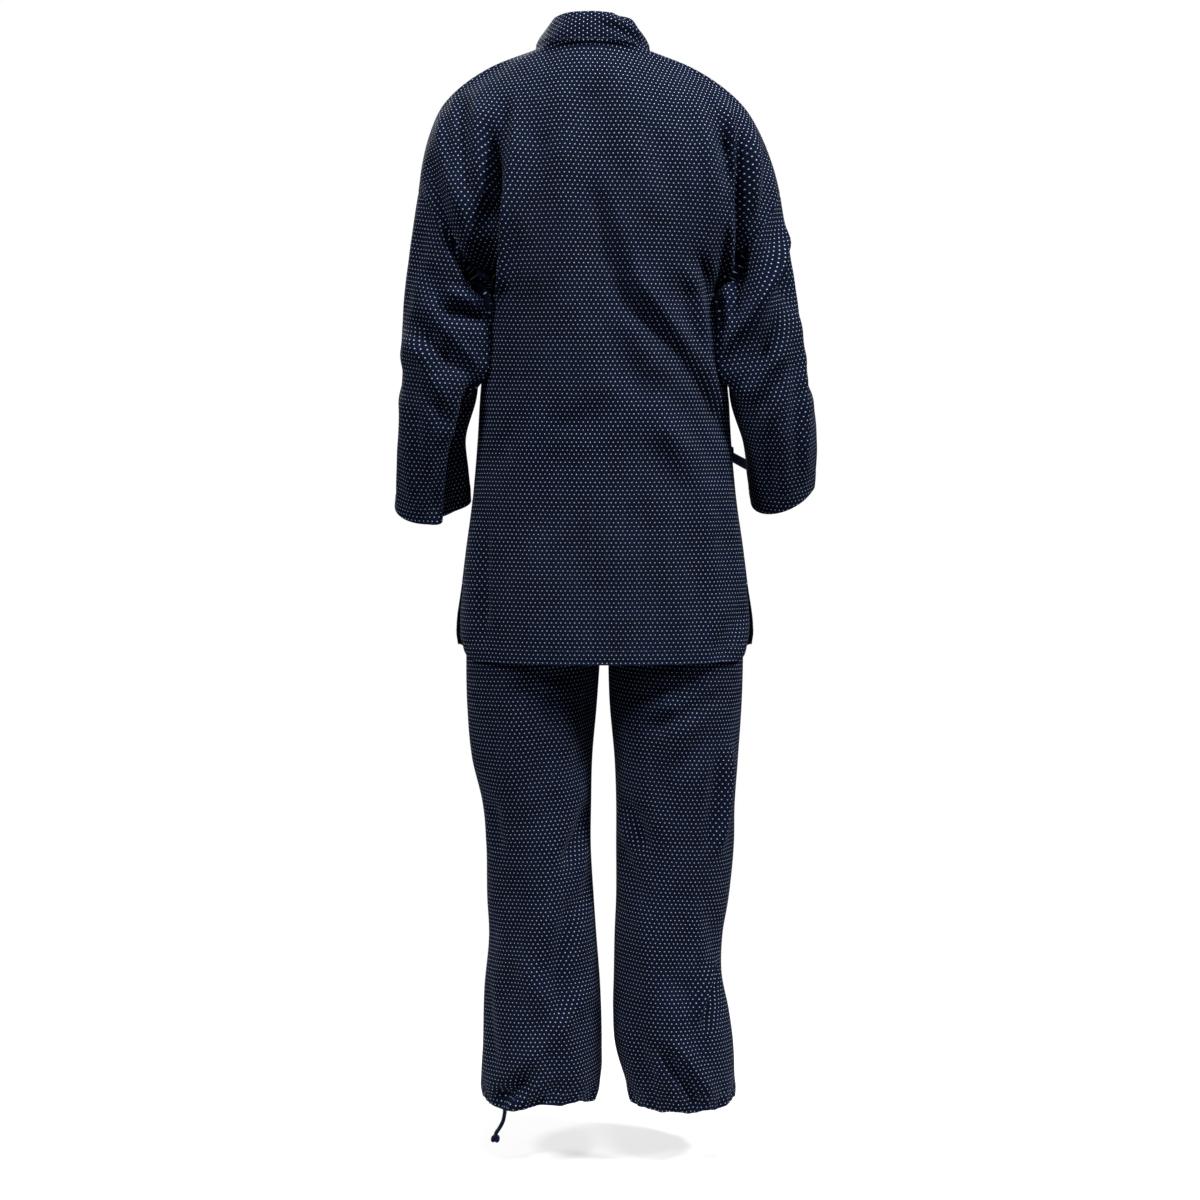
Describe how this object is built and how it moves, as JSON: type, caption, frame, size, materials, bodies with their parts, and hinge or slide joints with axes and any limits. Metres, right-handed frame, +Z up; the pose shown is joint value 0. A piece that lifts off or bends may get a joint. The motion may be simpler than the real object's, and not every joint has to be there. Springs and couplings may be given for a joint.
{
  "type": "samue jacket and trousers",
  "caption": "Hollow worn samue: wrap-over jacket with standing collar, dropped sleeves and a side tie, over straight trousers drawn in at the hem.",
  "frame": {"origin": "at the nape, on the collar seam at centre back, where the wearer's neck and shoulders hold the jacket", "axes": "+Z up, the front faces -Y, the wearer's left is +X"},
  "size_m": [0.568, 0.2577, 1.4922],
  "materials": {
    "dotted_cloth": "navy cotton weave with small pale dots",
    "tie_cloth": "plain dark navy cotton"
  },
  "bodies": {
    "root": {"jacket_back": "dotted_cloth", "jacket_front_left": "dotted_cloth", "jacket_front_right": "dotted_cloth", "sleeve_left": "dotted_cloth", "sleeve_right": "dotted_cloth", "collar": "dotted_cloth", "trouser_left_back": "dotted_cloth", "trouser_left_front": "dotted_cloth", "trouser_right_back": "dotted_cloth", "trouser_right_front": "dotted_cloth", "waistband": "dotted_cloth", "tie_knot": "tie_cloth", "tie_from_front": "tie_cloth", "tie_from_side": "tie_cloth", "tie_loop_outer": "tie_cloth", "tie_loop_inner": "tie_cloth", "tie_tail_outer": "tie_cloth", "tie_tail_inner": "tie_cloth", "hem_cord": "dotted_cloth", "hem_cord_knot": "dotted_cloth"}
  },
  "joints": []
}
